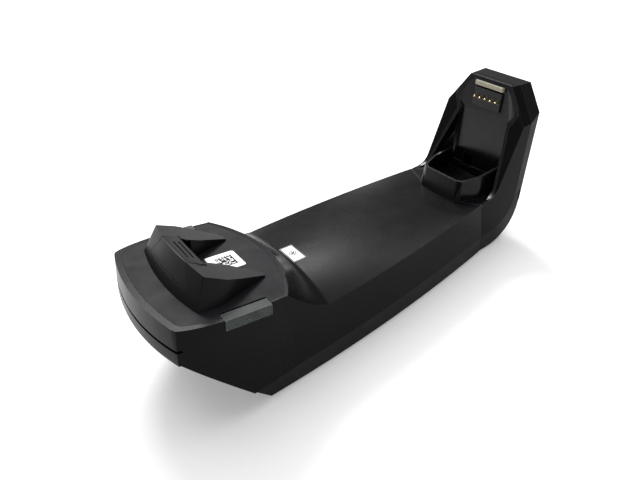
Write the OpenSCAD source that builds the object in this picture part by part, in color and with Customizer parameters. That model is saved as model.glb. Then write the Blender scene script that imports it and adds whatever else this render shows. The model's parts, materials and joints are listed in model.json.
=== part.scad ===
// Desk cradle for a cordless handheld scanner.
// +X runs from the raised nose to the upright, +Y to the far side, +Z up.
// The origin is on the desk, under the middle of the cradle's outline.

/* [Body] */
// X of the nose's front edge
nose_tip_x = -103.6; // [-105:0.1:-103]
// Radius of the nose's front wall, seen from above
nose_r = 118; // [110:1:130]
// Half width of the body where it is widest behind the nose
body_half_w = 36.4; // [36:0.1:37]
// Radius of the long curve of each flank, seen from above
flank_r = 700; // [680:10:720]
// Half width of the upright
upright_half_w = 26; // [25.5:0.1:26.5]
// Height of the underside above the desk, which the feet stand out by
base_z = 1; // [0.8:0.1:1.2]
// Thickness of the plastic walls
wall = 2.4; // [2.2:0.1:2.6]
// Height of the seam between the bottom cover and the top housing
seam_z = 11; // [10.5:0.5:11.5]
// Inward slope of the bottom cover's edge, over its height
cover_taper = 2; // [1.5:0.1:2.2]

/* [Nose] */
// Nose-up tilt of the nose plate, in degrees
tilt = 10.6; // [10:0.1:11]
// Radius of the nose plate's rear edge, seen from above
rim_r = 65.5; // [65:0.5:66]
// Thickness of the nose plate
plate_t = 2.4; // [2.2:0.1:2.6]
// Travel of each side catch
catch_travel = 0.8; // [0.6:0.1:0.9]
// Radius of the release tab's hinge pin
pin_r = 1; // [0.9:0.1:1.1]
// Side of the square pairing label
label_side = 13.5; // [13:0.5:14]

/* [Charging bay] */
// Lean of the upright and of the bay's floor, in degrees
lean = 16.4; // [16:0.1:17]
// Distance between two charging contacts
contact_pitch = 3.5; // [3.4:0.1:3.6]
// Number of charging contacts
contact_count = 5; // [5:1:5]
// Travel of each charging contact
contact_travel = 1.5; // [1.2:0.1:1.6]
// Thickness of the bay liner
liner_t = 1.5; // [1.4:0.1:1.6]

/* [Hidden] */
$fn = 64;
eps = 0.01;

// Places of the outline
plate_pos = [-74.5, 0, 52.1];
nose_flare = 6;
rim_x = -44.7;
flank_x = -61;
heel_x = 63.6;
heel_r = 24;
back_x = 81.6;
back_slope = tan(lean);
top_back = [back_x + back_slope * 74.8, 74.8];
top_front = [92.5, 76];
rim_front = [87, 59.9];
sweep_top = [70.8, 34.1];
sweep_r = 8.2;
foot_x = -73;
bay_pos = [88.9, 0, 62.4];
back_gap = 10.2;

// Fasteners and boards
post_xy = [[-51.5, 29], [44, 18.3]];
post_r = 3.2;
insert_xy = [[-40, 25], [10, 25]];
board_z = 8;
board_t = 1.6;
board_x = [-16, 72];
board_half_w = 20;
board_hole_xy = [[-12, 16], [52, 16]];
ballast = [46, 40, 6];
ballast_pos = [-67, -20, 3.4];
jack = [15, 13, 11.5];
jack_pos = [59, -11, 9.6];
inlet = [12, 9, 10];
inlet_pos = [62, 4, 9.6];

// Points of an arc in a plane, from angle a to angle b
function arc(c, r, a, b, n) = [for (i = [0:n])
    let (t = a + (b - a) * i / n) c + r * [cos(t), sin(t)]];
// Point of a cubic curve with four control points, at t from 0 to 1
function bezier(p, t) = pow(1 - t, 3) * p[0] + 3 * t * pow(1 - t, 2) * p[1]
    + 3 * t * t * (1 - t) * p[2] + pow(t, 3) * p[3];
// Mirrors points about the first axis, in reverse order
function mirrored(p) = [for (i = [len(p) - 1:-1:0]) [p[i][0], -p[i][1]]];
// X of the back face at a height
function back_at(z) = back_x + back_slope * z;
// Height of the body's top on the centreline and along the flanks
function crown_mid(x) = 33.8 - 0.107 * x;
function crown_edge(x) = 31.85 - 0.027 * x;
function half_w(x) = body_half_w - pow(x - flank_x, 2) / (2 * flank_r);

// Puts the middle of the whole outline over the origin
module placed() { translate([nose_flare / 2, 0, 0]) children(); }
// Frame of the nose plate: X back along the plate, Z up from its top face
module on_plate() { translate(plate_pos) rotate([0, tilt, 0]) children(); }
// Frame of the bay: X into the upright, Z up along the bay's floor
module in_bay() { translate(bay_pos) rotate([0, lean, 0]) children(); }
// Each child here and mirrored to the far side
module both_sides() { children(); mirror([0, 1, 0]) children(); }
// A flat shape in X and Z, extruded across the cradle
module across(w) { rotate([90, 0, 0]) translate([0, 0, -w / 2]) linear_extrude(w) children(); }
// A flat shape in Y and Z, extruded along X from a to b
module along(a, b) { translate([a, 0, 0]) rotate([90, 0, 90]) linear_extrude(b - a) children(); }
// A round bar along Y
module bar_y(r, l) { rotate([90, 0, 0]) cylinder(r = r, h = l, center = true); }
// A screw with its head's underside at 0 and its shank up
module screw(head_r, head_h, r, l) {
    translate([0, 0, -head_h]) cylinder(r = head_r, h = head_h);
    cylinder(r = r, h = l);
}
// A coil spring along Z, of round wire
module coil(r, wire_r, turns, h, sides = 6, steps = 12) {
    n = turns * steps;
    points = [for (i = [0:n]) for (s = [0:sides - 1])
        let (a = 360 * i / steps, b = 360 * s / sides, d = r + wire_r * cos(b))
        [d * cos(a), d * sin(a), wire_r + (h - 2 * wire_r) * i / n + wire_r * sin(b)]];
    walls = [for (i = [0:n - 1]) for (s = [0:sides - 1])
        let (t = (s + 1) % sides)
        [i * sides + s, (i + 1) * sides + s, (i + 1) * sides + t, i * sides + t]];
    ends = [[for (s = [0:sides - 1]) s], [for (s = [sides - 1:-1:0]) n * sides + s]];
    polyhedron(points, concat(walls, ends));
}

// Outline of the whole cradle seen from above
nose_corner = [[-112, 24], [-100.3, 29]];
nose_curve = [[-98.2, 32.7], [-90, 37.4], [-78, 38.3], [-58, 36.4]];
nose_side = concat(nose_corner, [for (i = [0:8]) bezier(nose_curve, i / 8)]);
// The nose is wider below its rim, down to the edge of its underside
flare_corner = [[-118, 32.6], [-104, 34.6]];
flare_curve = [[-104, 34.6], [-97, 37.6], [-80, 38.6], [-58, 36.4]];
flare_side = concat(flare_corner, [for (i = [1:8]) bezier(flare_curve, i / 8)]);
flare_z = 43;
module plan() {
    intersection() {
        translate([nose_tip_x - nose_flare + nose_r, 0]) circle(r = nose_r, $fn = 360);
        union() {
            polygon(concat(flare_side, mirrored(flare_side)));
            intersection() {
                translate([flank_x, body_half_w - flank_r]) circle(r = flank_r, $fn = 720);
                translate([flank_x, flank_r - body_half_w]) circle(r = flank_r, $fn = 720);
                translate([-70, -40]) square([128.5, 80]);
            }
            translate([58, -upright_half_w]) square([50, 2 * upright_half_w]);
        }
    }
}

// The nose's front wall, from its rim out to the wider underside. Its rear end is open.
module nose_skirt() {
    open_end = [[-56, 40]];
    rim = concat(nose_side, open_end);
    base = concat(flare_side, open_end);
    hull() {
        translate([0, 0, plane_at(nose_tip_x)]) linear_extrude(10) intersection() {
            polygon(concat(rim, mirrored(rim)));
            translate([nose_tip_x + nose_r, 0]) circle(r = nose_r, $fn = 180);
        }
        linear_extrude(flare_z) intersection() {
            polygon(concat(base, mirrored(base)));
            translate([nose_tip_x - nose_flare + nose_r, 0]) circle(r = nose_r, $fn = 180);
        }
    }
}
// Solid under the neck and the body's crowned top. The neck drops from the rim in a concave
// sweep, and the crown is high in the middle at the neck and low at the bay.
neck_steps = 7;
crown_steps = 12;
cross_steps = 14;
crown_start = -36;
crown_end = 66;
// Height of the nose plate's plane
function plane_at(x) = plate_pos[2] - (x - plate_pos[0]) * tan(tilt);
function crown_at(x, s) = [x, crown_mid(x) + (crown_edge(x) - crown_mid(x)) * s * s];
// X and Z of the surface's points on the line at s of the half width
function surface_line(s) = let (
    rim_y = s * half_w(-52),
    x = rim_x - rim_r + sqrt(rim_r * rim_r - rim_y * rim_y),
    q = s * s,
    from = [x, plane_at(x)],
    to = crown_at(crown_start - q, s),
    steep = [3.4 + 1.8 * q, -5.4 - 1.7 * q],
    curve = [from, from + steep, to + [-3 - 2.5 * q, 0.35], to])
    concat([from - 3 * steep], [for (i = [1:neck_steps]) bezier(curve, i / neck_steps)],
           [for (i = [1:crown_steps])
               crown_at(to[0] + (crown_end - to[0]) * i / crown_steps, s)]);
module under_top() {
    lines = [for (j = [-cross_steps:cross_steps])
        let (s = 1.04 * j / cross_steps)
        [for (p = surface_line(s)) [p[0], s * max(half_w(max(p[0], -52)), upright_half_w), p[1]]]];
    n = len(lines[0]);
    m = len(lines);
    tops = [for (l = lines) for (p = l) p];
    lows = [for (p = tops) [p[0], p[1], -1]];
    k = m * n;
    quads = [for (j = [0:m - 2]) for (i = [0:n - 2])
        [j * n + i, j * n + i + 1, (j + 1) * n + i + 1, (j + 1) * n + i]];
    up = [for (q = quads) for (t = [[q[2], q[1], q[0]], [q[3], q[2], q[0]]]) t];
    down = [for (q = quads) [q[0] + k, q[1] + k, q[2] + k, q[3] + k]];
    walls = [for (e = concat(
        [for (i = [0:n - 2]) [i, i + 1]],
        [for (j = [0:m - 2]) [j * n + n - 1, (j + 1) * n + n - 1]],
        [for (i = [n - 2:-1:0]) [(m - 1) * n + i + 1, (m - 1) * n + i]],
        [for (j = [m - 2:-1:0]) [(j + 1) * n, j * n]]))
        [e[0], e[1], e[1] + k, e[0] + k]];
    polyhedron(concat(tops, lows), concat(up, down, walls));
}

// Side view of the nose and the body, up to the nose plate's plane
module body_profile() {
    heel = arc([heel_x, heel_r + base_z], heel_r, -90, -lean, 12);
    polygon(concat([[foot_x, base_z]], heel, [[70, 60], [-40, 60], [-40, plane_at(-40)],
                   [-118, plane_at(-118)], [-118, flare_z], [nose_tip_x, 41.8]]));
}
// Side view of the body's lower edge, the heel and the upright
module long_profile() {
    heel = arc([heel_x, heel_r + base_z], heel_r, -90, -lean, 12);
    sweep = arc([sweep_top[0] - sweep_r * cos(32.5), sweep_top[1] + sweep_r * sin(32.5)],
                sweep_r, -32.5, -90, 10);
    polygon(concat([[40, base_z]], heel, [top_back, top_front, rim_front], sweep,
                   [[63, 20], [40, 20]]));
}
// Front view of the upright
module upright_front() {
    half = [[-upright_half_w, -5], [-upright_half_w, 60.5], [-14.2, 75.9], [-14.2, 80]];
    polygon(concat(half, [for (i = [3:-1:0]) [-half[i][0], half[i][1]]]));
}
// The hollow's shape in front of the neck, whose conical wall drops from the plate's rear edge
module neck(inset) {
    translate([rim_x - rim_r, 0, 30]) {
        cylinder(r1 = rim_r + 9.5 - inset, r2 = rim_r - 8.1 - inset, h = 32, $fn = 180);
        translate([0, 0, -31]) cylinder(r = rim_r + 9.5 - inset, h = 31 + eps, $fn = 180);
    }
}
// The whole outer shape
module outer() {
    intersection() {
        linear_extrude(90) plan();
        across(90) body_profile();
        union() {
            under_top();
            // the nose, in front of the rim
            translate([rim_x - rim_r, 0, -1]) cylinder(r = rim_r - 2, h = 80, $fn = 180);
            translate([-120, -50, -1]) cube([60, 100, 80]);
        }
        union() {
            nose_skirt();
            translate([-60, -50, -1]) cube([140, 100, 80]);
        }
    }
    intersection() {
        linear_extrude(90) plan();
        across(90) long_profile();
        along(40, 110) upright_front();
    }
}
// The space inside, of the wall's thickness all round
module cavity() {
    heel = arc([heel_x, heel_r + base_z], heel_r - wall, -90, -lean, 10);
    intersection() {
        linear_extrude(90) offset(delta = -wall) plan();
        across(90) union() {
            polygon(concat([[-67, base_z + wall]], heel,
                [[back_at(72.6) - wall, 72.6], [back_at(72.6) - back_gap + 1.3, 72.6],
                 [back_at(30) - back_gap - 2, 30], [58, 25.5], [-45, 30], [-45, 60],
                 [-101, 60], [-101, 44]]));
        }
        union() {
            intersection() {
                neck(3.2);
                on_plate() translate([-60, -50, -80]) cube([120, 100, 81 - plate_t]);
            }
            translate([-67, -50, 0]) cube([107, 100, 30]);
            along(39, 110) offset(delta = -wall) upright_front();
        }
    }
}
// Side view of what belongs to the top housing
module top_zone() {
    c = [heel_x - 0.6, seam_z + 20];
    polygon(concat([[-120, seam_z]], arc(c, 20, -90, -lean, 10),
                   [[back_at(90) - 6.8, 90], [-120, 90]]));
}

// Outline of the nose plate, in its own frame
plate_rim = 1.2;
plate_side = concat(
    [for (p = concat(nose_corner, [for (i = [0:8]) bezier(nose_curve, i / 8)]))
        [(p[0] - plate_pos[0]) / cos(tilt), p[1] - plate_rim]],
    [[34, 34]]);
module plate_outline(gap = 0) {
    intersection() {
        translate([-30 + nose_r + 1 - gap, 0]) circle(r = nose_r, $fn = 360);
        translate([30.3 - 2 - rim_r + gap, 0]) circle(r = rim_r, $fn = 180);
        offset(delta = gap) polygon(concat(plate_side, mirrored(plate_side)));
    }
}

// Side catches: a wedge in a notch of the nose's edge
catch_pos = [-8.8, -33.2, 0];
catch_size = [20, 4.9, 4.6];
catch_lip = 1.2;
// Room for a catch in the near edge, with its lip, its spring and its travel
module catch_room() {
    gap = 0.2;
    translate(catch_pos) {
        translate([-gap, -9, -catch_size[2] - gap])
            cube([catch_size[0] + 2 * gap, 9 + catch_travel + gap, 8]);
        translate([-catch_lip - gap, -catch_lip - gap, -catch_size[2] - gap])
            cube([catch_size[0] + 2 * (catch_lip + gap), catch_lip + catch_travel + 2 * gap,
                  catch_size[2] - plate_t + 2 * gap]);
        translate([catch_size[0] / 2 - 1.8, -1, -5.7]) cube([3.6, 8, 5.7 - plate_t]);
    }
}

module top_housing() {
    color("#222224") difference() {
        union() {
            difference() {
                intersection() { outer(); across(92) top_zone(); }
                cavity();
            }
            // posts for the housing screws
            intersection() {
                outer();
                both_sides() for (p = post_xy) translate([p[0], p[1], base_z + wall + 1])
                    cylinder(r = post_r, h = 40);
            }
            // ledge and ears under the nose plate
            intersection() {
                outer();
                on_plate() translate([0, 0, -4.4]) difference() {
                    linear_extrude(4.4 - plate_t) plate_outline(3);
                    translate([0, 0, -1]) linear_extrude(9) plate_outline(-4);
                }
            }
            intersection() {
                outer();
                on_plate() both_sides() for (x = [-17, 15.5])
                    translate([x - 4, 24, -7.4]) cube([8, 18, 2]);
            }
        }
        // seat of the nose plate
        on_plate() translate([0, 0, -plate_t]) linear_extrude(9) plate_outline(0.1);
        // groove between the two tiers of the nose's front wall
        translate([nose_tip_x - nose_flare + nose_r, 0, 47.4]) difference() {
            cylinder(r = nose_r + 3, h = 1.2, $fn = 360);
            translate([0, 0, -1]) cylinder(r = nose_r - 3.1, h = 4, $fn = 360);
            translate([8.5 - nose_r, -60, -1]) cube([300, 120, 4]);
        }
        on_plate() {
            both_sides() catch_room();
            both_sides() for (x = [-17, 15.5]) {
                translate([x, 27.5, -9]) cylinder(r = 1.3, h = 5);
                translate([x, 27.5, -5.4]) cylinder(r = 2.9, h = 4);
            }
        }
        both_sides() for (p = post_xy) translate([p[0], p[1], 0]) cylinder(r = 1.25, h = 15);
        recess(liner_t);
        pocket_wall();
        in_bay() {
            // windows behind the liner for the contact board's screws, the block and the bar
            board_screw_places() rotate([0, 90, 0]) cylinder(r = 2.6, h = 11);
            translate([-2, -9.1, -0.2]) cube([9, 18.2, 9.4]);
            translate([-2, -9.2, 9.8]) cube([8.2, 18.4, 2.6]);
            translate([-2, 2.4, -33]) cube([9, 7, 6.4]);
        }
        lens_place() translate([-3.6, -6.9, -8]) cube([7.2, 13.8, 20]);
        // room for the port well
        translate([70, -16.2, 5]) cube([20, 32.4, 17.7]);
    }
}

module cover_edge() {
    // slope of the lower edge along each flank and up the upright
    both_sides() intersection() {
        translate([flank_x, body_half_w - flank_r, 0]) rotate_extrude($fn = 720)
            polygon([[flank_r - cover_taper, 0], [flank_r, seam_z], [flank_r + 2, seam_z],
                     [flank_r + 2, 0]]);
        translate([-90, 0, 0]) cube([148.5, 60, 30]);
    }
    edge = [[0, -cover_taper], [0.5, 2], [-10, 2], [-10, 0]];
    both_sides() translate([58, upright_half_w, base_z]) rotate([90, 0, 90])
        linear_extrude(heel_x - 58) polygon([for (p = edge) [p[1], -p[0]]]);
    both_sides() translate([heel_x, 0, base_z + heel_r]) rotate([-90, 0, 0]) intersection() {
        rotate_extrude($fn = 120)
            polygon([for (p = edge) [heel_r + p[0], upright_half_w + p[1]]]);
        cube([60, 60, 60]);
    }
    both_sides() translate([back_at(18), upright_half_w, 18]) rotate([0, lean, 0])
        linear_extrude(90) polygon([[0.5, -cover_taper], [0.5, 2], [-6.5, 2], [-6.5, 0]]);
}
module bottom_cover() {
    color("#29292b") difference() {
        union() {
            difference() {
                intersection() {
                    outer();
                    difference() {
                        translate([-90, -50, 0]) cube([220, 100, 90]);
                        across(92) top_zone();
                    }
                }
                cavity();
                cover_edge();
            }
            for (p = insert_xy) both_sides() translate([p[0], p[1], base_z])
                cylinder(r = 4.2, h = 8);
            for (p = post_xy) both_sides() translate([p[0], p[1], base_z])
                cylinder(r = 4.6, h = wall + 1);
            for (p = board_hole_xy) both_sides() translate([p[0], p[1], base_z])
                cylinder(r = 3, h = board_z - base_z);
            // well around the host port and the power inlet
            intersection() {
                outer();
                translate([72.4, -15.6, 5.6]) cube([30, 31.2, 16.8]);
            }
        }
        translate([74, -14, 7.2]) cube([40, 28, 13.7]);
        translate([70, jack_pos[1] - 0.1, jack_pos[2] - 0.1])
            cube([8, jack[1] + 0.2, jack[2] + 0.2]);
        translate([70, inlet_pos[1] - 0.1, inlet_pos[2] - 0.1])
            cube([8, inlet[1] + 0.2, inlet[2] + 0.2]);
        for (p = insert_xy) both_sides() translate([p[0], p[1], 0]) cylinder(r = 2.8, h = 8);
        for (p = post_xy) both_sides() translate([p[0], p[1], 0]) {
            cylinder(r = 1.25, h = 9);
            cylinder(r = 3, h = 2.8);
        }
        for (p = board_hole_xy) both_sides() translate([p[0], p[1], 3.4]) cylinder(r = 1, h = 9);
        ballast_holes() translate([0, 0, 2]) cylinder(r = 1.25, h = 9);
        foot_places() cylinder(r = 6, h = 0.6);
    }
}
module foot_places() {
    for (x = [-54, 52]) both_sides() translate([x, x < 0 ? 20 : 14, base_z]) children();
}
module rubber_feet() {
    color("#1b1b1b") foot_places() translate([0, 0, -base_z]) cylinder(r = 6, h = base_z + 0.6);
}
module housing_screws() {
    color("#9a9a98") both_sides() for (p = post_xy) translate([p[0], p[1], 2.8])
        screw(2.6, 1.5, 1.25, 10);
}
module mount_inserts() {
    color("#b08d3c") both_sides() for (p = insert_xy) translate([p[0], p[1], base_z])
        difference() {
            cylinder(r = 2.8, h = 7);
            translate([0, 0, -1]) cylinder(r = 1.65, h = 9);
        }
}
module ballast_holes() {
    for (x = [-8, 8]) translate([ballast_pos[0] + 23 + x * 2, 0, 0]) children();
}
module ballast_plate() {
    color("#6c6e70") difference() {
        translate(ballast_pos) cube(ballast);
        ballast_holes() cylinder(r = 1.6, h = 20);
    }
}
module ballast_screws() {
    color("#9a9a98") ballast_holes() translate([0, 0, ballast_pos[2] + ballast[2]])
        mirror([0, 0, 1]) screw(2.8, 1.4, 1.25, ballast[2] + 1.2);
}
module main_board() {
    color("#1d5a38") difference() {
        translate([board_x[0], -board_half_w, board_z])
            cube([board_x[1] - board_x[0], 2 * board_half_w, board_t]);
        both_sides() for (p = board_hole_xy) translate([p[0], p[1], 0]) cylinder(r = 1.2, h = 20);
        // notches round the housing's posts
        both_sides() translate([post_xy[1][0], post_xy[1][1], 0]) cylinder(r = post_r + 0.4, h = 20);
    }
}
module board_chips() {
    color("#161616") translate([0, 0, board_z + board_t]) {
        translate([4, -7, 0]) cube([12, 12, 1.4]);
        translate([24, -14, 0]) cube([8, 6, 1.2]);
        translate([24, 2, 0]) cube([6, 8, 1.2]);
        for (i = [0:3]) translate([37, -14 + 5 * i, 0]) cube([4, 3, 1]);
        translate([46, -4, 0]) cylinder(r = 3, h = 7);
        translate([46, 5, 0]) cylinder(r = 3, h = 7);
    }
}
module radio_can() {
    color("#b9bbbd") translate([-10, -8, board_z + board_t]) cube([11, 16, 2.2]);
}
module board_screws() {
    color("#9a9a98") both_sides() for (p = board_hole_xy)
        translate([p[0], p[1], board_z + board_t]) mirror([0, 0, 1]) screw(2.2, 1.3, 1, 5.4);
}
module host_port() {
    color("#2c2c2e") translate(jack_pos) difference() {
        cube(jack);
        translate([2.5, 1.6, 2.2]) cube([20, 9.8, 6.8]);
        translate([4.5, 4.2, 1]) cube([20, 4.6, 2]);
    }
}
module host_port_contacts() {
    color("#c9a24a") translate(jack_pos) for (i = [0:7])
        translate([4, 2.4 + 1.1 * i, 8.2]) cube([7, 0.5, 0.6]);
}
module power_inlet() {
    color("#1f1f20") translate(inlet_pos) difference() {
        cube(inlet);
        translate([2, inlet[1] / 2, 5]) rotate([0, 90, 0]) cylinder(r = 2.75, h = 20);
    }
}
module power_inlet_pin() {
    color("#b9bbbd") translate(inlet_pos + [2, inlet[1] / 2, 5]) rotate([0, 90, 0])
        cylinder(r = 1.05, h = 8.5);
}

module nose_plate() {
    color("#272729") on_plate() difference() {
        union() {
            translate([0, 0, -plate_t]) linear_extrude(plate_t) plate_outline();
            both_sides() for (x = [-17, 15.5]) translate([x, 27.5, -5.4])
                cylinder(r = 2.6, h = 4);
            // rib behind each catch's spring
            both_sides() translate([catch_pos[0] + 7, -27.4, -6.2]) cube([6, 1.4, 5]);
        }
        both_sides() for (x = [-17, 15.5]) translate([x, 27.5, -6]) cylinder(r = 1, h = 4.6);
        both_sides() catch_room();
        nest_screw_places() translate([0, 0, -9]) cylinder(r = 1.3, h = 12);
    }
}
module nose_plate_screws() {
    color("#9a9a98") on_plate() both_sides() for (x = [-17, 15.5])
        translate([x, 27.5, -7.4]) screw(2.2, 1.3, 1, 5.4);
}
module nest_screw_places() {
    both_sides() translate([-4, 17.5, 0]) children();
}
module nest_screws() {
    color("#9a9a98") on_plate() nest_screw_places() translate([0, 0, -plate_t])
        screw(2.3, 1.3, 1, 6.4);
}

// Nest: a wedge with two arms, highest at the front
nest_low = [[-15.4, 28.3], [-6, 28.6], [18.4, 19.6], [18.4, -19.6], [-6, -28.6], [-15.4, -28.3]];
nest_high = [[-9.4, 24.3], [1.5, 24.1], [18.2, 18.8], [18.2, -18.8], [1.5, -24.1], [-9.4, -24.3]];
tab_pin_pos = [-13.2, 0, 3.3];
tab_spring_x = -5;
tab_turn = [-13.2, 4.6];
// A thin slab of an outline with a curved front edge
module slab(outline, z, tip_x) {
    translate([0, 0, z]) linear_extrude(eps) intersection() {
        polygon(concat([[tip_x - 1, 20], [tip_x - 1, -20]], [for (i = [5:-1:0]) outline[i]]));
        translate([tip_x + nose_r, 0]) circle(r = nose_r, $fn = 180);
    }
}
// The tab itself, or its slot, which a grow makes wider all round
module tab_wedge(grow) {
    hull() {
        translate([-25, -18 - grow, 5 - grow]) cube([20 + 2 * grow, 36 + 2 * grow, eps]);
        translate([-25, -10.6 - grow, 15]) cube([20 + 2 * grow, 21.2 + 2 * grow, eps]);
    }
}
module nest_body() {
    hull() {
        slab(nest_low, 0.02, -19);
        slab(nest_high, 13.4, -12.4);
    }
}
module nest_top() {
    // everything above the descending top faces
    across(80) polygon([[-30, 13.4], [-11.6, 13.4], [19, 0.5], [30, -4], [30, 40], [-30, 40]]);
}
module scanner_nest() {
    color("#262628") on_plate() difference() {
        nest_body();
        nest_top();
        tab_wedge(0.45);
        // hollow between the arms
        translate([0, 0, -1]) linear_extrude(30)
            polygon([[-5.5, -12.2], [-2, -11], [4, -11.6], [22, -17.4], [22, 17.4], [4, 11.6],
                     [-2, 11], [-5.5, 12.2]]);
        // room for the tab's knuckle
        translate(tab_pin_pos) bar_y(2.45, 19);
        translate([tab_pin_pos[0] - 2.45, -9.5, tab_pin_pos[2]]) cube([12, 19, 6]);
        translate([tab_pin_pos[0], -9.5, 0.8]) cube([12, 19, 6]);
        translate([tab_spring_x, 0, -1]) cylinder(r = 2.7, h = 9);
        // room below the tab as it turns
        across(36.8) polygon([tab_turn, tab_turn + [13, -1.5], tab_turn + [13, 4], tab_turn + [0, 4]]);
        translate(tab_pin_pos) bar_y(pin_r, 30);
        nest_screw_places() translate([0, 0, -1]) cylinder(r = 1, h = 5);
    }
}
module release_tab() {
    color("#2b2b2d") on_plate() difference() {
        union() {
            intersection() {
                nest_body();
                tab_wedge(0);
                translate([-30, -30, 5]) cube([28, 60, 30]);
            }
            translate(tab_pin_pos) bar_y(2, 18);
            translate([tab_pin_pos[0] - 2, -9, tab_pin_pos[2]]) cube([4, 18, 2.2]);
        }
        across(80) polygon([[-30, 13.6], [-11.4, 13.3], [-1.9, 9.8], [0, 9.2], [0, 30], [-30, 30]]);
        // hollow under the tab
        translate([-10.6, -9.2, 4]) cube([12, 18.4, 2.6]);
        translate(tab_pin_pos) bar_y(pin_r + 0.05, 40);
        // finger grooves
        for (i = [0:2]) translate([-9.6 + 2.2 * i, -7.5, 12.1 - 0.81 * i]) rotate([0, 20.2, 0])
            cube([0.8, 15, 2]);
    }
}
module tab_pin() { color("#b9bbbd") on_plate() translate(tab_pin_pos) bar_y(pin_r, 29.6); }
module tab_spring() {
    color("#a8aaac") on_plate() translate([tab_spring_x, 0, 0]) coil(2, 0.25, 5, 6.55);
}
module side_catch() {
    translate(catch_pos) {
        translate([0, -catch_size[1], -catch_size[2]]) cube(catch_size);
        translate([-catch_lip, -catch_lip, -catch_size[2]])
            cube([catch_size[0] + 2 * catch_lip, catch_lip, catch_size[2] - plate_t - 0.2]);
        translate([catch_size[0] / 2, -0.5, -3.9]) rotate([-90, 0, 0]) cylinder(r = 0.7, h = 3);
    }
}
module catch_spring() {
    translate(catch_pos + [catch_size[0] / 2, 0, -3.9]) rotate([-90, 0, 0])
        coil(1.1, 0.18, 5, 5.8);
}
module catch_spring_near() { color("#a8aaac") on_plate() catch_spring(); }
module catch_spring_far() { color("#a8aaac") on_plate() mirror([0, 1, 0]) catch_spring(); }
module side_catch_near() { color("#4a4d4b") on_plate() side_catch(); }
module side_catch_far() { color("#4a4d4b") on_plate() mirror([0, 1, 0]) side_catch(); }
module pairing_label() {
    color("#f2f2f0") on_plate() translate([3.2, -label_side / 2, 0])
        cube([label_side, label_side, 0.15]);
}

// Frame of the status lens, which lies on the crown
lens_x = -33;
module lens_place() {
    translate([lens_x, 0, crown_mid(lens_x) + 0.05]) rotate([0, 6.1, 0]) children();
}
module status_lens() {
    color("#f4f4f2") lens_place() translate([-2.8, -6, -1.4]) cube([5.6, 12, 1.3]);
}
module lens_frame() {
    color("#1c1c1e") lens_place() difference() {
        translate([-3.6, -6.9, -2.6]) cube([7.2, 13.8, 2.5]);
        translate([-2.8, -6, -1.4]) cube([5.6, 12, 4]);
        translate([-2, -5, -4]) cube([4, 10, 4]);
    }
}

// Outlines of the bay, in its own frame: at the floor and at the front face
floor_high = [[10.2, 12.6], [10.6, 7], [15.5, -3.3]];
// Corners of the bay's lower part on the near side, with y outwards: the floor's edge, the rim's
// edge, the foot, and open air in front
function bay_low(g) = [
    [88 + g, 15.5 + g, 59.2], [84 + g, 18.2 + g, 45.8], [80.9 + g, 17.8 + g, 35.2 - g / 2],
    [79.8 + g, 12.2 + g, 31.6 - g],
    [87.4, 15.1 + g, 59.7], [79.8, 18 + g, 48.7], [69.9, 23 + g, 32.3 - g], [59.4, 26, 29.9 - g],
    [56, 14, 28.6 - g], [58, 22, 29.6 - g], [66, 19.8, 28 - g], [79.5, 17, 28 - g],
    [46, 26, 60], [76, 15.1 + g, 80]];
module plate_yz(p, x, grow) {
    translate([x, 0, 0]) rotate([90, 0, 90]) linear_extrude(eps) offset(delta = grow)
        polygon(concat(p, [for (i = [len(p) - 1:-1:0]) [-p[i][0], p[i][1]]]));
}
// The bay's hollow, grown by the liner's thickness for the liner's outside
module recess(grow) {
    in_bay() {
        hull() {
            plate_yz(floor_high, grow, grow);
            plate_yz([[12.6, 13.2], [20.4, 3.6], [15.4, -3]], -1.5, grow);
            plate_yz([[12.6, 13.2], [21.2, 3.6], [15.4, -3]], -12, grow);
        }
    }
    hull() both_sides() for (p = bay_low(grow)) translate(p) cube(eps, center = true);
}
// The pocket at the foot of the bay: its corners at two levels, its outside and its hollow
pocket_low = [[52, 11.5], [54.5, 14.8], [64, 19.8]];
pocket_high = [[57, 10.2], [58.6, 13.8], [68, 17]];
// One level of the pocket, as far back as x
module flat_at(p, x, z, grow) {
    q = concat(p, [[x, p[2][1]]]);
    translate([0, 0, z]) linear_extrude(eps) offset(delta = grow) polygon(concat(q, mirrored(q)));
}
module pocket_wall() {
    hull() {
        flat_at(pocket_high, 80, 38.2, 0);
        flat_at(pocket_low, 79.5, 27.2 - liner_t, 0);
    }
}
module pocket_hollow() {
    hull() {
        flat_at(pocket_high, 83.2, 40.2, -liner_t);
        flat_at(pocket_low, 81.3, 27.2, -liner_t - 1.2);
    }
}
// Places of the screws that hold the contact board to the liner
module board_screw_places() { for (y = [-6, 13.5]) translate([0, y, -5]) children(); }
module bay_liner() {
    color("#202022") difference() {
        union() {
            in_bay() board_screw_places() translate([1, 0, 0]) rotate([0, 90, 0])
                cylinder(r = 2.2, h = 3.5);
            difference() {
                intersection() { outer(); recess(liner_t); }
                recess(0);
            }
            intersection() {
                pocket_wall();
                translate([40, -30, 0]) cube([back_at(34) - back_gap - 40, 60, 60]);
            }
        }
        pocket_hollow();
        in_bay() {
            translate([-5, -9.1, -0.2]) cube([20, 18.2, 9.4]);
            translate([-5, -9.2, 9.8]) cube([20, 18.4, 2.6]);
            translate([-5, 2.4, -33]) cube([20, 7, 6.4]);
            board_screw_places() translate([0.8, 0, 0]) rotate([0, 90, 0]) cylinder(r = 0.8, h = 9);
        }
    }
}
module contact_board_screws() {
    color("#9a9a98") in_bay() board_screw_places() translate([5.7, 0, 0]) rotate([0, -90, 0])
        screw(1.6, 1, 0.8, 4.5);
}
contact_z = 4.4;
module contact_axes() {
    for (i = [1:contact_count]) contact_axis(i) children();
}
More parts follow.
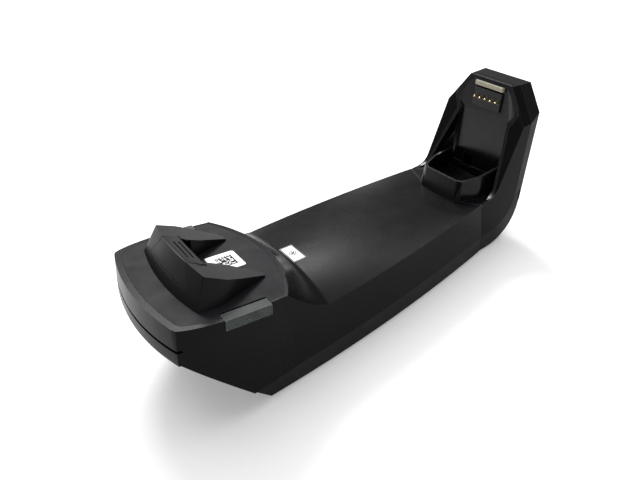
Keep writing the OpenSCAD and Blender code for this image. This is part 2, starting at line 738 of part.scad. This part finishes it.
// Frame of one charging contact: Z into the upright
module contact_axis(i) {
    in_bay() translate([0, (i - (contact_count + 1) / 2) * contact_pitch, contact_z])
        rotate([0, 90, 0]) children();
}
module contact_block() {
    color("#303033") difference() {
        in_bay() translate([-1, -8.9, 0]) cube([5.5, 17.8, 9]);
        contact_axes() translate([0, 0, -3]) cylinder(r = 1.1, h = 9, $fn = 32);
    }
}
module contact_barrels() {
    color("#c9a24a") contact_axes() difference() {
        translate([0, 0, -1]) cylinder(r = 1.1, h = 5.5, $fn = 32);
        translate([0, 0, -2]) cylinder(r = 0.65, h = 4, $fn = 32);
        translate([0, 0, -0.6]) cylinder(r = 0.85, h = 4.7, $fn = 32);
    }
}
module contact_plunger(i) {
    color("#d9b45a") contact_axis(i) {
        translate([0, 0, -2.4]) sphere(r = 0.6, $fn = 32);
        translate([0, 0, -2.4]) cylinder(r = 0.6, h = 2.6, $fn = 32);
        translate([0, 0, -0.6]) cylinder(r = 0.8, h = 0.8, $fn = 32);
    }
}
module contact_spring(i) {
    color("#a8aaac") contact_axis(i) translate([0, 0, 0.2]) coil(0.6, 0.1, 6, 3.9, 5, 10);
}
module light_bar() {
    color("#e9e4cf") in_bay() translate([-1.6, -9, 10]) cube([5, 18, 2.2]);
}
module contact_board() {
    color("#1d5a38") in_bay() difference() {
        union() {
            translate([4.5, -12, -9]) cube([1.2, 24, 18.8]);
            translate([4.5, 11, -9]) cube([1.2, 9, 8]);
        }
        board_screw_places() translate([3, 0, 0]) rotate([0, 90, 0]) cylinder(r = 1, h = 4);
    }
}
// X and Z of a point of the bay's frame
function bay_xz(w, v) = [bay_pos[0] + w * cos(lean) + v * sin(lean),
                         bay_pos[2] - w * sin(lean) + v * cos(lean)];
// Side view of a strip of even thickness along a route
function unit(v) = v / norm(v);
function strip(p, t) = let (n = len(p) - 1,
    side = [for (i = [0:n]) let (d = unit(p[min(i + 1, n)] - p[max(i - 1, 0)])) [-d[1], d[0]]])
    concat([for (i = [0:n]) p[i] + side[i] * t / 2], [for (i = [n:-1:0]) p[i] - side[i] * t / 2]);
module ribbon_cable() {
    route = [[58, 9.8], [62, 9.8], [66, 9.8], [73, 11.6], [79.4, 16.8], [83, 22.5],
             bay_xz(5.9, -32), bay_xz(5.9, -20), bay_xz(5.9, -8), bay_xz(5.9, -4)];
    color("#8d8f92") translate([0, 18, 0]) across(3) polygon(strip(route, 0.4));
}

placed() top_housing();
placed() bottom_cover();
placed() rubber_feet();
placed() housing_screws();
placed() mount_inserts();
placed() ballast_plate();
placed() ballast_screws();
placed() main_board();
placed() board_chips();
placed() radio_can();
placed() board_screws();
placed() host_port();
placed() host_port_contacts();
placed() power_inlet();
placed() power_inlet_pin();
placed() nose_plate();
placed() nose_plate_screws();
placed() scanner_nest();
placed() nest_screws();
placed() release_tab();
placed() tab_pin();
placed() tab_spring();
placed() side_catch_near();
placed() side_catch_far();
placed() catch_spring_near();
placed() catch_spring_far();
placed() pairing_label();
placed() status_lens();
placed() lens_frame();
placed() bay_liner();
placed() contact_board_screws();
placed() contact_block();
placed() contact_barrels();
placed() light_bar();
placed() contact_board();
placed() ribbon_cable();
for (i = [1:contact_count]) {
    placed() contact_plunger(i);
    placed() contact_spring(i);
}
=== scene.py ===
"""Desk cradle of a cordless barcode scanner: looks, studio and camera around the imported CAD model."""
import json
import math
import random

import bpy
import bmesh
from mathutils import Matrix, Vector


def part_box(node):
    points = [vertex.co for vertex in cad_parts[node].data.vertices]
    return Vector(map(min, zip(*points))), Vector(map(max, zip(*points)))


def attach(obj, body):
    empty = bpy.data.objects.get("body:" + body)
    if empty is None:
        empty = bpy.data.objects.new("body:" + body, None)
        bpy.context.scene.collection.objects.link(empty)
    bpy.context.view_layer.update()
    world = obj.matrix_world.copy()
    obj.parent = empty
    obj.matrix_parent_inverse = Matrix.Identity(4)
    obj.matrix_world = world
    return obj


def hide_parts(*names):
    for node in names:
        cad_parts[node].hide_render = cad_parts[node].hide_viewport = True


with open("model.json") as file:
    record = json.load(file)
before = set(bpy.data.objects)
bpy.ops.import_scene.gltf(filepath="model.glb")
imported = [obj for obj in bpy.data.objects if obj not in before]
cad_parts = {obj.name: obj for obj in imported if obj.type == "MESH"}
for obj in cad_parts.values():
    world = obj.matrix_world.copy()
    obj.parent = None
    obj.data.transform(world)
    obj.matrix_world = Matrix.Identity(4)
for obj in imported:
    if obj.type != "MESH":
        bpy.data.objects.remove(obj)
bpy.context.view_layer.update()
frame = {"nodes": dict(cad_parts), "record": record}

MM = 0.001
NODES = frame["nodes"]
MOUNTS = {m["name"]: m for m in frame["record"]["mounts"]}
ACROSS = Vector((0, 1, 0))      # from the near flank to the far one


# ---------------------------------------------------------------- frames

def axis_frame(at, z):
    """Matrix with its origin at a place, Z along an axis and Y across the cradle."""
    x = ACROSS.cross(z).normalized()
    turn = Matrix((x, z.cross(x), z)).transposed().to_4x4()
    return Matrix.Translation(at) @ turn


def mount_frame(name):
    """A mount's frame, with Z along the mount's axis."""
    mount = MOUNTS[name]
    return axis_frame(Vector(mount["pos_m"]), Vector(mount["axis"]).normalized())


# ---------------------------------------------------------------- materials

class Nodes:
    """Short way to add and link shader nodes of one material."""

    def __init__(self, name):
        self.mat = bpy.data.materials.new(name)
        self.mat.use_nodes = True
        self.tree = self.mat.node_tree
        self.tree.nodes.clear()
        self.out = self.add("ShaderNodeOutputMaterial")
        self.bsdf = self.add("ShaderNodeBsdfPrincipled")
        self.link(self.bsdf, "BSDF", self.out, "Surface")
        self.coord = self.add("ShaderNodeTexCoord")

    def add(self, kind, **values):
        """Adds a node. A value sets the input of its name, or else the property."""
        node = self.tree.nodes.new(kind)
        for key, value in values.items():
            if key in node.inputs:
                node.inputs[key].default_value = value
            else:
                setattr(node, key, value)
        return node

    def link(self, a, out, b, into):
        self.tree.links.new(a.outputs[out], b.inputs[into])

    def noise(self, scale, detail=3.0, rough=0.5):
        """Noise in the object's own coordinates, with its scale in cells per metre."""
        node = self.add("ShaderNodeTexNoise")
        node.inputs["Scale"].default_value = scale
        node.inputs["Detail"].default_value = detail
        node.inputs["Roughness"].default_value = rough
        self.link(self.coord, "Object", node, "Vector")
        return node

    def ramp(self, source, out, stops):
        """A ramp from (position, colour) stops."""
        node = self.add("ShaderNodeValToRGB")
        for i, (at, colour) in enumerate(stops):
            stop = node.color_ramp.elements[i] if i < 2 else node.color_ramp.elements.new(at)
            stop.position = at
            stop.color = (*colour, 1)
        self.link(source, out, node, "Fac")
        return node

    def span(self, source, out, low, high, at=(0.3, 0.7)):
        """Value between low and high as the source runs over a range."""
        node = self.add("ShaderNodeMapRange")
        for key, value in zip(("From Min", "From Max", "To Min", "To Max"), (*at, low, high)):
            node.inputs[key].default_value = value
        self.link(source, out, node, "Value")
        return node

    def bump(self, source, out, height, below=None):
        """Bump of a height in metres, on top of another bump."""
        node = self.add("ShaderNodeBump")
        node.inputs["Distance"].default_value = height
        self.link(source, out, node, "Height")
        if below:
            self.link(below, "Normal", node, "Normal")
        return node

    def blend(self, mask, out, colour_a, colour_b):
        """Colour a where the mask is 0 and b where it is 1; each is a colour or (node, output)."""
        node = self.add("ShaderNodeMix", data_type="RGBA")
        self.link(mask, out, node, "Factor")
        for into, colour in ((6, colour_a), (7, colour_b)):
            if isinstance(colour[0], bpy.types.Node):
                self.tree.links.new(colour[0].outputs[colour[1]], node.inputs[into])
            else:
                node.inputs[into].default_value = (*colour, 1)
        return node


def shade(colour, k):
    """A colour made k times as bright."""
    return tuple(c * k for c in colour)


EDGE_HIGHLIGHT_WIDTH = 0.35      # millimetres of an edge painted lighter: a painted highlight, partly rubbed wear
FLOW_DEPTH = 0.08     # millimetres of the slow waves in a moulded face


def plastic(name, colour, rough, spec=0.3, grain=2600, depth=0.012, mottle=0.18, highlight_and_wear=1.2):
    """Moulded plastic: fine spark grain, faint flow mottling, and edges painted lighter as a painted
    highlight that partly stands for rubbing.
    """
    n = Nodes(name)
    cloud = n.noise(38, 4)
    base = n.ramp(cloud, "Fac", [(0.3, shade(colour, 1 - mottle)), (0.7, shade(colour, 1 + mottle))])
    # Painted highlight: every edge and crease found by the bevel lightens the base colour, broken up by
    # noise; only partly rubbed wear
    soft = n.add("ShaderNodeBevel", samples=4)
    soft.inputs["Radius"].default_value = EDGE_HIGHLIGHT_WIDTH * MM
    edge = n.add("ShaderNodeVectorMath", operation="DOT_PRODUCT")
    face = n.add("ShaderNodeNewGeometry")
    n.link(soft, "Normal", edge, 0)
    n.link(face, "Normal", edge, 1)
    highlight_and_rub = n.span(edge, "Value", 1, 0, at=(0.86, 0.995))
    patch = n.noise(240, 5, 0.65)
    broken = n.span(patch, "Fac", 0.25, 1.0, at=(0.35, 0.65))
    mask = n.add("ShaderNodeMath", operation="MULTIPLY")
    n.link(highlight_and_rub, "Result", mask, 0)
    n.link(broken, "Result", mask, 1)
    highlit_and_worn = n.blend(mask, "Value", (base, "Color"), shade(colour, 1 + 5 * highlight_and_wear))
    n.tree.links.new(highlit_and_worn.outputs[2], n.bsdf.inputs["Base Color"])
    film = n.noise(90, 5, 0.6)
    roughness = n.span(film, "Fac", rough * 0.9, rough * 1.12)
    n.link(roughness, "Result", n.bsdf, "Roughness")
    n.bsdf.inputs["Specular IOR Level"].default_value = spec
    spark = n.noise(grain, 2, 0.55)
    fine = n.bump(spark, "Fac", depth * MM)
    wave = n.noise(14, 2)
    flow = n.bump(wave, "Fac", FLOW_DEPTH * MM, fine)
    n.link(flow, "Normal", n.bsdf, "Normal")
    return n.mat


def metal(name, colour, rough, brush=(900, 900, 60)):
    """Metal with fine drawn lines and slight tarnish."""
    n = Nodes(name)
    n.bsdf.inputs["Metallic"].default_value = 1.0
    stretch = n.add("ShaderNodeMapping")
    stretch.inputs["Scale"].default_value = brush
    n.link(n.coord, "Object", stretch, "Vector")
    lines = n.add("ShaderNodeTexNoise")
    lines.inputs["Scale"].default_value = 3.0
    lines.inputs["Detail"].default_value = 4.0
    n.link(stretch, "Vector", lines, "Vector")
    stain = n.noise(420, 3)
    base = n.ramp(stain, "Fac", [(0.3, shade(colour, 0.78)), (0.65, colour)])
    n.link(base, "Color", n.bsdf, "Base Color")
    roughness = n.span(lines, "Fac", rough * 0.75, rough * 1.3)
    n.link(roughness, "Result", n.bsdf, "Roughness")
    bump = n.bump(lines, "Fac", 0.004 * MM)
    n.link(bump, "Normal", n.bsdf, "Normal")
    return n.mat


def rubber(name, colour):
    """Matt rubber with a coarse moulded grain and dusty patches."""
    n = Nodes(name)
    dust = n.noise(160, 5, 0.7)
    base = n.ramp(dust, "Fac", [(0.4, colour), (0.75, shade(colour, 2.2))])
    n.link(base, "Color", n.bsdf, "Base Color")
    n.bsdf.inputs["Specular IOR Level"].default_value = 0.25
    rough = n.span(dust, "Fac", 0.7, 0.9)
    n.link(rough, "Result", n.bsdf, "Roughness")
    pores = n.add("ShaderNodeTexVoronoi")
    pores.inputs["Scale"].default_value = 1500
    n.link(n.coord, "Object", pores, "Vector")
    bump = n.bump(pores, "Distance", 0.03 * MM)
    n.link(bump, "Normal", n.bsdf, "Normal")
    return n.mat


def milky(name, colour, rough=0.3):
    """Milky translucent plastic of a light window."""
    n = Nodes(name)
    cloud = n.noise(300, 3)
    base = n.ramp(cloud, "Fac", [(0.3, shade(colour, 0.94)), (0.7, colour)])
    n.link(base, "Color", n.bsdf, "Base Color")
    n.bsdf.inputs["Subsurface Weight"].default_value = 0.15
    n.bsdf.inputs["Subsurface Scale"].default_value = 0.6 * MM
    roughness = n.span(cloud, "Fac", rough * 0.85, rough * 1.2)
    n.link(roughness, "Result", n.bsdf, "Roughness")
    bump = n.bump(cloud, "Fac", 0.01 * MM)
    n.link(bump, "Normal", n.bsdf, "Normal")
    return n.mat


def printed(name, colour, spec=0.3):
    """Printed film: paper-white or ink, with fibre flecks and a soft satin coat."""
    n = Nodes(name)
    fibre = n.noise(1400, 4, 0.6)
    base = n.ramp(fibre, "Fac", [(0.35, shade(colour, 0.95)), (0.65, colour)])
    n.link(base, "Color", n.bsdf, "Base Color")
    n.bsdf.inputs["Specular IOR Level"].default_value = spec
    rough = n.span(fibre, "Fac", 0.38, 0.5)
    n.link(rough, "Result", n.bsdf, "Roughness")
    bump = n.bump(fibre, "Fac", 0.006 * MM)
    n.link(bump, "Normal", n.bsdf, "Normal")
    return n.mat


def circuit(name, colour):
    """Solder resist over copper: tracks show as faint lighter lines."""
    n = Nodes(name)
    tracks = n.add("ShaderNodeTexBrick")
    tracks.inputs["Scale"].default_value = 260
    tracks.inputs["Color1"].default_value = (*colour, 1)
    tracks.inputs["Color2"].default_value = (*shade(colour, 0.85), 1)
    tracks.inputs["Mortar"].default_value = (*shade(colour, 1.7), 1)
    tracks.inputs["Mortar Size"].default_value = 0.03
    n.link(n.coord, "Object", tracks, "Vector")
    n.link(tracks, "Color", n.bsdf, "Base Color")
    cloud = n.noise(200, 3)
    rough = n.span(cloud, "Fac", 0.25, 0.4)
    n.link(rough, "Result", n.bsdf, "Roughness")
    bump = n.bump(tracks, "Fac", 0.02 * MM)
    n.link(bump, "Normal", n.bsdf, "Normal")
    return n.mat


BLACK = (0.003, 0.003, 0.0036)
LOOKS = {
    "housing_black": plastic("housing_black", BLACK, 0.28, spec=0.07, grain=2600, depth=0.006),
    "cover_black": plastic("cover_black", shade(BLACK, 1.9), 0.5, spec=0.09, grain=1900, depth=0.02),
    "nose_black": plastic("nose_black", shade(BLACK, 2.6), 0.55, spec=0.1, grain=1700, depth=0.03),
    "nest_black": plastic("nest_black", shade(BLACK, 1.7), 0.36, spec=0.12, grain=2200, depth=0.015),
    "tab_black": plastic("tab_black", shade(BLACK, 1.7), 0.32, spec=0.14, grain=2200, depth=0.012),
    "catch_grey": plastic("catch_grey", (0.03, 0.036, 0.032), 0.62, spec=0.3, grain=900, depth=0.07,
                          mottle=0.35),
    # Bay liner: its edges carry a strong painted highlight, only partly wear
    "liner_black": plastic("liner_black", shade(BLACK, 1.1), 0.2, spec=0.24, grain=3000, depth=0.002,
                           highlight_and_wear=4),
    "block_black": plastic("block_black", shade(BLACK, 1.8), 0.42, spec=0.35),
    "frame_black": plastic("frame_black", shade(BLACK, 0.6), 0.25, spec=0.4, depth=0.002),
    "port_plastic": plastic("port_plastic", shade(BLACK, 1.6), 0.45, spec=0.35),
    "chip_black": plastic("chip_black", shade(BLACK, 1.3), 0.55),
    "ribbon_grey": plastic("ribbon_grey", (0.3, 0.3, 0.31), 0.4),
    "foot_rubber": rubber("foot_rubber", (0.012, 0.012, 0.012)),
    "screw_steel": metal("screw_steel", (0.55, 0.55, 0.53), 0.32),
    "insert_brass": metal("insert_brass", (0.72, 0.52, 0.24), 0.34),
    "ballast_steel": metal("ballast_steel", (0.3, 0.31, 0.32), 0.5),
    "can_metal": metal("can_metal", (0.62, 0.62, 0.63), 0.3),
    "gold_contact": metal("gold_contact", (0.92, 0.75, 0.42), 0.2),
    "barrel_dark": metal("barrel_dark", (0.1, 0.09, 0.07), 0.35),
    "pin_metal": metal("pin_metal", (0.7, 0.71, 0.72), 0.2),
    "spring_steel": metal("spring_steel", (0.6, 0.61, 0.62), 0.25),
    "board_green": circuit("board_green", (0.02, 0.12, 0.06)),
    "label_white": printed("label_white", (0.9, 0.9, 0.89)),
    "lens_white": printed("lens_white", (0.92, 0.92, 0.91)),
    "bar_cream": milky("bar_cream", (0.4, 0.37, 0.27)),
    "ink": printed("ink", (0.008, 0.008, 0.009), spec=0.06),
}


# ---------------------------------------------------------------- CAD nodes

# Width of the rounded edges of each CAD node, in millimetres
EDGES = {
    "top_housing": 0.55, "bottom_cover": 0.4, "nose_plate": 0.3, "scanner_nest": 0.35,
    "release_tab": 0.3, "side_catch_near": 0.25, "side_catch_far": 0.25, "bay_liner": 0.35,
    "contact_block": 0.2, "light_bar": 0.2, "lens_frame": 0.15, "rubber_feet": 0.3,
    "host_port": 0.15, "power_inlet": 0.15,
}

# Nodes whose look isn't their slot's
OWN_LOOKS = {"contact_barrels": "barrel_dark"}

WELD_GAP = 0.002      # millimetres under which corners become one
FLAT_ANGLE = 0.4      # degrees under which neighbouring faces are one flat face
ROUND_ANGLE = 24      # degrees over which an edge is rounded
CREASE_ANGLE = 32     # degrees over which an edge stays sharp in the shading


def finish_node(name, obj, look):
    """Gives a CAD node its look and rounds its edges with modifiers."""
    obj.data.materials.clear()
    obj.data.materials.append(LOOKS[look])
    weld = obj.modifiers.new("weld", "WELD")
    weld.merge_threshold = WELD_GAP * MM
    if name in EDGES:
        flat = obj.modifiers.new("flat", "DECIMATE")
        flat.decimate_type = "DISSOLVE"
        flat.angle_limit = math.radians(FLAT_ANGLE)
        flat.delimit = set()
        edge = obj.modifiers.new("edge", "BEVEL")
        edge.width = EDGES[name] * MM
        edge.segments = 3
        edge.limit_method = "ANGLE"
        edge.angle_limit = math.radians(ROUND_ANGLE)
        edge.harden_normals = False
        edge.use_clamp_overlap = True
        edge.miter_outer = "MITER_ARC"
    smooth_by_angle(obj)


def smooth_by_angle(obj):
    """Smooth shading, with the mesh split along its sharp edges."""
    obj.data.shade_smooth()
    split = obj.modifiers.new("crease", "EDGE_SPLIT")
    split.split_angle = math.radians(CREASE_ANGLE)
    split.use_edge_sharp = False
    even = obj.modifiers.new("even", "WEIGHTED_NORMAL")
    even.keep_sharp = True


slots = {part["node"]: part["material_slot"] for part in frame["record"]["subparts"]}
for node_name, node_obj in NODES.items():
    finish_node(node_name, node_obj, OWN_LOOKS.get(node_name, slots[node_name]))


# ---------------------------------------------------------------- pieces made here

def object_from(bm, name):
    """Makes a bmesh an object of the scene and frees it."""
    mesh = bpy.data.meshes.new(name)
    bm.to_mesh(mesh)
    bm.free()
    obj = bpy.data.objects.new(name, mesh)
    bpy.context.scene.collection.objects.link(obj)
    return obj


def mesh_piece(name, bm, look, place, body="cradle"):
    """Turns a bmesh, in millimetres in a local frame, into a piece that rides on a body."""
    bmesh.ops.recalc_face_normals(bm, faces=bm.faces)
    bm.transform(place @ Matrix.Scale(MM, 4))
    obj = object_from(bm, name)
    obj.data.materials.append(LOOKS[look])
    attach(obj, body)
    return obj


def add_box(bm, size, at):
    """Adds a box of a size, with its middle at a place."""
    corners = bmesh.ops.create_cube(bm, size=1)["verts"]
    bmesh.ops.scale(bm, vec=size, verts=corners)
    bmesh.ops.translate(bm, vec=at, verts=corners)


plate_frame = mount_frame("scanner_nest")
plate_turn = plate_frame.to_3x3().to_4x4()


# ---- label, in millimetres

FILM_T = 0.15         # thickness of the film
FILM_CORNER = 1.1     # radius of its corners
CODE_SIDE = 7.8       # side of the printed field
CODE_CELLS = 12       # cells along that side
CODE_SHIFT = 0.4      # from the film's middle, away from the nose's end
INK_LOW, INK_HIGH = FILM_T / 2 - 0.01, FILM_T / 2 + 0.04
INK_SPREAD = 1.02     # side of a printed square over its cell's side
DARK_SHARE = 0.6      # share of the inner cells that are printed
CODE_SEED = 5


def rounded_plate(w, l, r, low, high, steps=6):
    """A plate with rounded corners, centred on the frame's Z, from low to high."""
    bm = bmesh.new()
    ring = []
    for cx, cy, start in ((1, 1, 0), (-1, 1, 90), (-1, -1, 180), (1, -1, 270)):
        for i in range(steps + 1):
            a = math.radians(start + 90 * i / steps)
            ring.append((cx * (w / 2 - r) + r * math.cos(a), cy * (l / 2 - r) + r * math.sin(a)))
    bottom = [bm.verts.new((x, y, low)) for x, y in ring]
    top = [bm.verts.new((x, y, high)) for x, y in ring]
    bm.faces.new(top)
    bm.faces.new(bottom[::-1])
    for i in range(len(ring)):
        j = (i + 1) % len(ring)
        bm.faces.new((bottom[i], bottom[j], top[j], top[i]))
    return bm


def dot_code():
    """A square field of printed cells, with two solid sides and two dashed ones."""
    draw = random.Random(CODE_SEED)
    bm = bmesh.new()
    step = CODE_SIDE / CODE_CELLS
    last = CODE_CELLS - 1
    size = (step * INK_SPREAD, step * INK_SPREAD, INK_HIGH - INK_LOW)
    for i in range(CODE_CELLS):
        for j in range(CODE_CELLS):
            dark = draw.random() < DARK_SHARE
            solid = i == last or j == 0
            dashed = i == 0 or j == last
            if solid or (dashed and (i + j) % 2 == 0) or (dark and not dashed):
                x, y = (i + 0.5) * step - CODE_SIDE / 2, (j + 0.5) * step - CODE_SIDE / 2
                add_box(bm, size, (x, y, (INK_LOW + INK_HIGH) / 2))
    return bm


label_low, label_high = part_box("pairing_label")
label_side = (label_high.y - label_low.y) / MM
label_place = Matrix.Translation((label_low + label_high) / 2) @ plate_turn
film = rounded_plate(label_side, label_side, FILM_CORNER, -FILM_T / 2, FILM_T / 2)
label = mesh_piece("label_film", film, "label_white", label_place)
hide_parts("pairing_label")
code_place = label_place @ Matrix.Translation((CODE_SHIFT * MM, 0, 0))
mesh_piece("label_code", dot_code(), "ink", code_place)


# ---- ridges on the side catches, in millimetres

RIDGE_COUNT = 5
RIDGE_SIZE = (18.6, 0.3, 0.22)
RIDGE_TOP = 0.75      # from the nest mount's plane down to the first ridge
RIDGE_STEP = 0.72     # from one ridge to the next
RIDGE_ROUND = 0.08    # bevel of a ridge's edges
RIDGE_SINK = 0.06     # from the catch's outer face in to a ridge's middle


def ridges(name, side):
    """Fine ridges along a side catch, which ride on it."""
    low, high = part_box("side_catch_" + name)
    bm = bmesh.new()
    for i in range(RIDGE_COUNT):
        add_box(bm, RIDGE_SIZE, (0, 0, -RIDGE_TOP - RIDGE_STEP * i))
    bmesh.ops.bevel(bm, geom=list(bm.edges), offset=RIDGE_ROUND, segments=1, affect="EDGES")
    on_plate = plate_frame.inverted() @ ((low + high) / 2)
    on_plate.z = 0
    at = plate_frame @ on_plate
    at.y = (low.y if side < 0 else high.y) - side * RIDGE_SINK * MM
    mesh_piece("catch_ridges_" + name, bm, "catch_grey", Matrix.Translation(at) @ plate_turn,
               "side_catch_" + name)


ridges("near", -1)
ridges("far", 1)


# ---- mark on the status window, in millimetres

MARK_DOTS = 8         # dots in the ring
MARK_RING = 1.5       # radius of the ring
MARK_DOT = 0.42       # radius of a dot in the ring
MARK_MIDDLE = 0.75    # radius of the dot in the middle
MARK_LIFT = 0.05      # height over the window
FACES_UP = 0.9        # least upward part of a top face's normal


def window_mark():
    """A ring of dots round a larger dot."""
    bm = bmesh.new()
    for i in range(MARK_DOTS + 1):
        ring = MARK_RING if i else 0
        radius = MARK_DOT if i else MARK_MIDDLE
        a = 2 * math.pi * i / MARK_DOTS
        dot = bmesh.ops.create_circle(bm, cap_ends=True, segments=10, radius=radius)["verts"]
        bmesh.ops.translate(bm, vec=(ring * math.cos(a), ring * math.sin(a), 0), verts=dot)
    return bm


def surface_place(node, lift):
    """Frame over the top face of a CAD node, from its own mesh."""
    faces = [f for f in NODES[node].data.polygons if f.normal.z > FACES_UP]
    area = sum(f.area for f in faces)
    at = sum((f.center * f.area for f in faces), Vector()) / area
    z = sum((f.normal * f.area for f in faces), Vector()).normalized()
    return axis_frame(at + z * lift * MM, z)


mesh_piece("window_mark", window_mark(), "ink", surface_place("status_lens", MARK_LIFT))


# ---------------------------------------------------------------- studio and camera

# Places and sizes here are in metres
WORLD_LIGHT = 0.42
FLOOR_SIZE = 60
FLOOR_GLOW = 0.24
KEY_AT, KEY_TARGET = Vector((0.3, 0.75, 0.8)), Vector((0, 0, 0.03))
KEY_SIZE = (0.5, 0.35)
KEY_POWER = 12
SKY_FROM = Vector((0.2, 0.22, 1))
SKY_SPREAD = 70       # degrees
SKY_POWER = 1.6
CAMERA_AT = Vector((-0.1314, -0.2232, 0.2159))
CAMERA_FORWARD = Vector((0.3768, 0.7223, -0.58)).normalized()
CAMERA_UP = Vector((0.4305, 0.4179, 0.8002))


def stage_floor():
    """Pale floor whose own faint light keeps it near white where the shadow is thin."""
    bm = bmesh.new()
    bmesh.ops.create_grid(bm, x_segments=1, y_segments=1, size=FLOOR_SIZE)
    floor = object_from(bm, "floor")
    n = Nodes("floor_paper")
    cloud = n.noise(3, 2)
    base = n.ramp(cloud, "Fac", [(0.3, (0.83, 0.83, 0.835)), (0.7, (0.85, 0.85, 0.85))])
    n.link(base, "Color", n.bsdf, "Base Color")
    n.bsdf.inputs["Emission Color"].default_value = (1, 1, 1, 1)
    n.bsdf.inputs["Emission Strength"].default_value = FLOOR_GLOW
    n.bsdf.inputs["Roughness"].default_value = 0.9
    n.bsdf.inputs["Specular IOR Level"].default_value = 0.1
    floor.data.materials.append(n.mat)


def add_light(name, kind, power, turn, at=(0, 0, 0)):
    """Adds a light turned by a quaternion and returns its data."""
    data = bpy.data.lights.new(name, kind)
    data.energy = power
    obj = bpy.data.objects.new(name, data)
    obj.location = at
    obj.rotation_euler = turn.to_euler()
    bpy.context.scene.collection.objects.link(obj)
    return data


def studio():
    """White surroundings, the floor, a key light from behind and a wide soft sky."""
    world = bpy.data.worlds.new("studio")
    world.use_nodes = True
    back = world.node_tree.nodes["Background"]
    back.inputs["Color"].default_value = (1, 1, 1, 1)
    back.inputs["Strength"].default_value = WORLD_LIGHT
    bpy.context.scene.world = world
    stage_floor()
    key_turn = (KEY_TARGET - KEY_AT).to_track_quat("-Z", "Y")
    key = add_light("key", "AREA", KEY_POWER, key_turn, KEY_AT)
    key.shape = "RECTANGLE"
    key.size, key.size_y = KEY_SIZE
    sky = add_light("sky", "SUN", SKY_POWER, SKY_FROM.to_track_quat("Z", "Y"))
    sky.angle = math.radians(SKY_SPREAD)


def camera():
    """Camera above the near flank at the nose's end, looking towards the upright."""
    data = bpy.data.cameras.new("camera")
    data.lens, data.sensor_width = 37.38, 36
    data.clip_start = 0.01
    right = CAMERA_FORWARD.cross(CAMERA_UP).normalized()
    up = right.cross(CAMERA_FORWARD)
    obj = bpy.data.objects.new("camera", data)
    turn = Matrix((right, up, -CAMERA_FORWARD)).transposed().to_4x4()
    obj.matrix_world = Matrix.Translation(CAMERA_AT) @ turn
    bpy.context.scene.collection.objects.link(obj)
    bpy.context.scene.camera = obj


studio()
camera()
view = bpy.context.scene.view_settings
view.view_transform = "Standard"
view.look = "None"
view.exposure = 0.0
